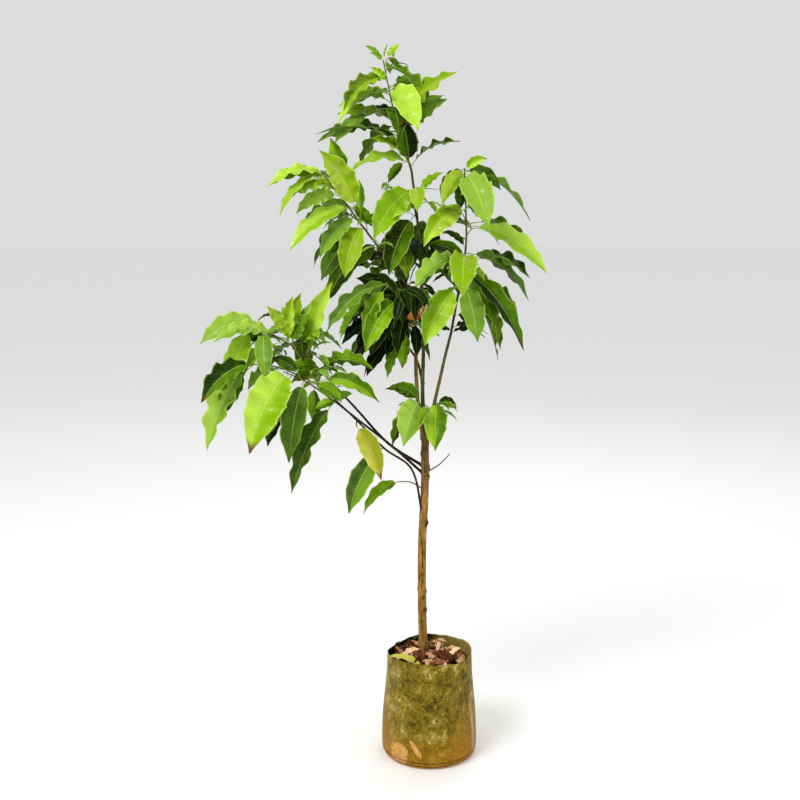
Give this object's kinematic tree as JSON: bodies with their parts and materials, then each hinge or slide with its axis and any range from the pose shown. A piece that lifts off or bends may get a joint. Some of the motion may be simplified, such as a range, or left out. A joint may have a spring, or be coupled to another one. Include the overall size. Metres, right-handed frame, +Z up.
{
  "type": "potted abiu tree",
  "caption": "Young abiu fruit tree in a round nursery grow bag: a slim trunk that forks, thin boughs and drooping sprays of long wavy leaves",
  "frame": {"origin": "middle of the grow bag's flat underside", "axes": "+Z up the trunk, +X to the right as seen from the front, +Y to the back; the low left bough reaches towards -X"},
  "size_m": [0.8579, 0.5028, 1.8373],
  "materials": {
    "grow_bag": "thin sheet, mottled with algae",
    "soil": "damp potting soil under dry leaf litter",
    "trunk_bark": "smooth tan bark with knots",
    "young_bark": "olive young bark",
    "dark_bark": "dark thin bark",
    "leaf": "glossy leaf",
    "shaded_leaf": "glossy dark leaf",
    "yellow_leaf": "yellowing leaf"
  },
  "bodies": {
    "root": {"grow_bag": "grow_bag", "soil": "soil", "trunk": "trunk_bark", "leader": "young_bark", "left_prong": "young_bark", "right_branch": "young_bark", "back_bough": "young_bark", "left_bough_upper": "dark_bark", "left_bough_lower": "dark_bark", "left_bough_thin": "dark_bark", "right_dry_twig": "dark_bark", "foliage_top": "leaf", "foliage_centre": "leaf", "foliage_right": "leaf", "foliage_upper_left": "leaf", "foliage_middle": "leaf", "foliage_back": "shaded_leaf", "foliage_back_top": "shaded_leaf", "foliage_low_left_upper": "leaf", "foliage_low_left_front": "leaf", "foliage_low_left_far": "leaf", "foliage_fork_left": "leaf", "foliage_fork_right": "leaf", "leaf_yellowing": "yellow_leaf", "leaf_hanging": "leaf", "leaf_lowest": "leaf"}
  },
  "joints": []
}
